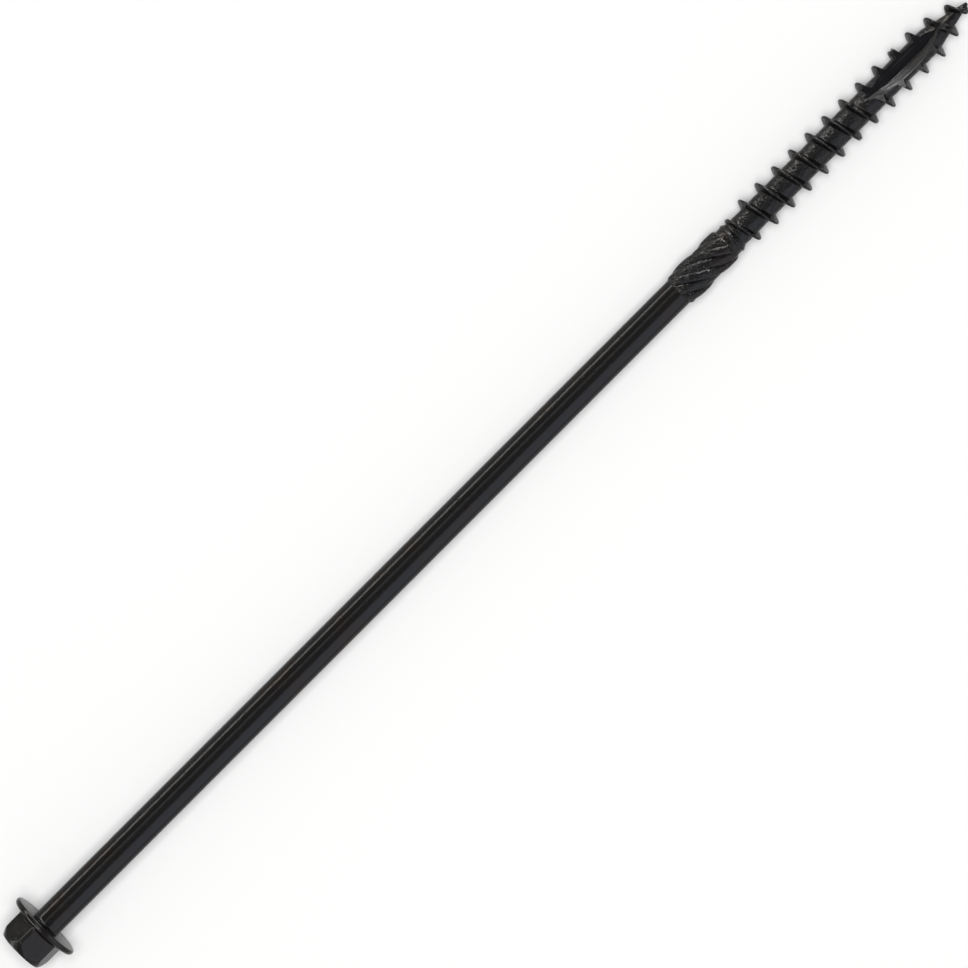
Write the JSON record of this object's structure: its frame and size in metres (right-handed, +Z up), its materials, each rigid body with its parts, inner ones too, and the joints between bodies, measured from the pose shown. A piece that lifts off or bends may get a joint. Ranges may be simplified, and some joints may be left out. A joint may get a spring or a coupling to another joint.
{
  "type": "construction screw",
  "caption": "Long hex washer head structural wood screw with a plain shank, ribbed reamer, coarse thread, milled cutting flute and gimlet point, black coated.",
  "frame": {"origin": "middle of the footprint, on the table that the screw lies on", "axes": "+X along the screw from head to point, +Z up from the table; the axis dips 0.76 degrees towards the point, because the screw lies on its flange rim and its last full thread crest"},
  "size_m": [0.2092, 0.0122, 0.0122],
  "materials": {
    "black_coated_steel": "glossy black corrosion coat on case-hardened carbon steel"
  },
  "bodies": {
    "root": {"construction_screw": "black_coated_steel"}
  },
  "joints": []
}
